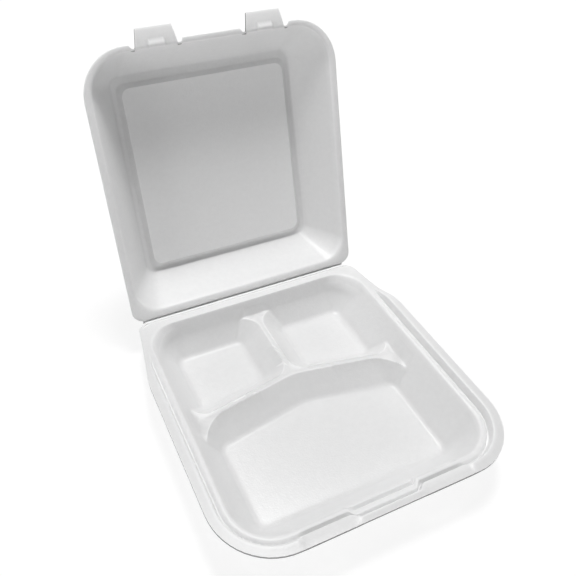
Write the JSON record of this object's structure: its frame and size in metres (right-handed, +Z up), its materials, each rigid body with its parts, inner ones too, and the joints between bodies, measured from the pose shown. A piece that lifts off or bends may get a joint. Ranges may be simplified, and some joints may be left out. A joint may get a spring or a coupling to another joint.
{
  "type": "hinged foam food container",
  "caption": "Hinged foam food container: a tray base divided by a Y-shaped rib, and a deep lid whose front tabs close into slots in the base's rim.",
  "frame": {"origin": "on the table, on the underside of the base, below the middle of its rim", "axes": "X along the hinge, +Y from the front edge to the hinge, +Z up"},
  "size_m": [0.23, 0.3343, 0.2419],
  "materials": {
    "foam": "satin white expanded foam"
  },
  "bodies": {
    "base": {"base": "foam"},
    "lid": {"lid": "foam"}
  },
  "joints": [
    {"name": "lid_hinge", "type": "hinge", "parent": "base", "child": "lid", "pos_m": [0, 0.115, 0.0322], "axis": [-1, 0, 0], "range_deg": [-110, 57]}
  ]
}
